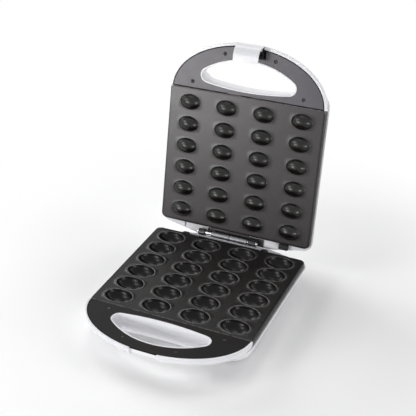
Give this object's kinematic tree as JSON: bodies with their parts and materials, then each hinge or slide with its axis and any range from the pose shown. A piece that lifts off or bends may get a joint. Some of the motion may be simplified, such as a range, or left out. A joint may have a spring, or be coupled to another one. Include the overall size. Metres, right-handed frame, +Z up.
{
  "type": "electric nut cookie maker",
  "caption": "Countertop nut cookie maker: hinged lid with domed plate over a base with nut cavities, D-shaped handle rings and a swinging front latch.",
  "frame": {"origin": "on the surface it stands on, under the middle of the whole box of the open cooker; x = 0 is the middle line", "axes": "+X to the right seen from the handle, +Y from the handle towards the hinge, +Z up; the lid is open at rest"},
  "size_m": [0.2596, 0.397, 0.3496],
  "materials": {
    "white_shell": "smooth white moulded plastic",
    "base_cover": "near-black brownish plastic, satin",
    "lid_cover": "dark grey plastic, satin",
    "lower_coating": "cast aluminium with a near-black non-stick coating",
    "upper_coating": "cast aluminium with a dark grey non-stick coating",
    "heater_steel": "tubular heater sheath, heat-tinted",
    "zinc_steel": "zinc-plated pressed steel",
    "dark_steel": "blackened steel screws",
    "reflector": "bright thin sheet",
    "black_steel": "black stove paint",
    "barrel_grey": "bright plated steel",
    "pin_steel": "plain steel rod",
    "thermostat_body": "small metal-cased part",
    "fuse_sleeve": "woven heat-proof sleeve",
    "block_plastic": "heat-resistant moulding",
    "wire_sleeve": "silicone wire insulation",
    "black_plastic": "black moulded plastic",
    "black_rubber": "soft black rubber"
  },
  "bodies": {
    "base": {"base_housing": "white_shell", "base_handle_cover": "base_cover", "base_cover_screws": "dark_steel", "lower_plate": "lower_coating", "lower_heating_element": "heater_steel", "lower_element_clamps": "zinc_steel", "lower_clamp_screws": "zinc_steel", "lower_heat_reflector": "reflector", "lower_reflector_screws": "zinc_steel", "thermostat": "thermostat_body", "thermostat_bracket": "zinc_steel", "thermostat_screws": "zinc_steel", "lower_thermal_fuse": "fuse_sleeve", "terminal_block": "block_plastic", "terminal_screws": "zinc_steel", "supply_leads": "wire_sleeve", "cord_gland": "black_rubber", "rubber_feet": "black_rubber", "feet_screws": "zinc_steel", "base_hinge_bracket": "black_steel", "hinge_bracket_screws": "dark_steel", "hinge_pin": "pin_steel", "pin_clips": "pin_steel"},
    "lid": {"lid_housing": "white_shell", "lid_handle_cover": "lid_cover", "lid_cover_screws": "dark_steel", "upper_plate": "upper_coating", "upper_heating_element": "heater_steel", "upper_element_clamps": "zinc_steel", "upper_clamp_screws": "zinc_steel", "upper_heat_reflector": "reflector", "upper_reflector_screws": "zinc_steel", "upper_thermal_fuse": "fuse_sleeve", "lid_leads": "wire_sleeve", "wire_guide": "black_plastic", "lid_hinge_leaf": "barrel_grey", "lid_hinge_screws": "dark_steel", "latch_bracket": "black_plastic", "latch_bracket_screws": "dark_steel", "latch_pin": "pin_steel"},
    "latch": {"latch": "white_shell"}
  },
  "joints": [
    {"name": "lid_hinge", "type": "hinge", "parent": "base", "child": "lid", "pos_m": [0, 0.11374, 0.0434], "axis": [1, 0, 0], "range_deg": [0, 102.6]},
    {"name": "latch_hinge", "type": "hinge", "parent": "lid", "child": "latch", "pos_m": [0, 0.18554, 0.34121], "axis": [-1, 0, 0], "range_deg": [0, 90]}
  ]
}
